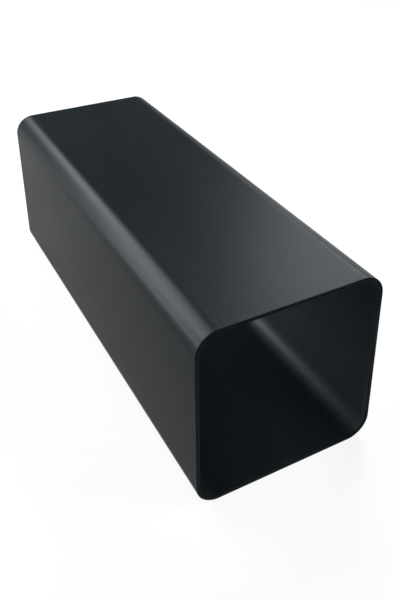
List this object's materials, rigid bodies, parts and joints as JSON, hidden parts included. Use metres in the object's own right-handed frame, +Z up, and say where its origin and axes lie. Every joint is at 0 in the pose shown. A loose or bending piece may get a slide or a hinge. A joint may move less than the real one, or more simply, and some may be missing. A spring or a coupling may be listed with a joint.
{
  "type": "channel duct",
  "caption": "Straight length of rigid plastic channel duct with a rounded rectangular section, an even wall and both ends open, for leading air along a wall or ceiling.",
  "frame": {"origin": "middle of the lower outside face, on which the duct lies", "axes": "+X across the duct, +Y along it away from the end that faces the viewer, +Z up"},
  "size_m": [0.1, 0.27, 0.1],
  "materials": {
    "duct_plastic": "dark anthracite rigid plastic, extruded, with a smooth satin skin and sawn ends"
  },
  "bodies": {
    "root": {"duct": "duct_plastic"}
  },
  "joints": []
}
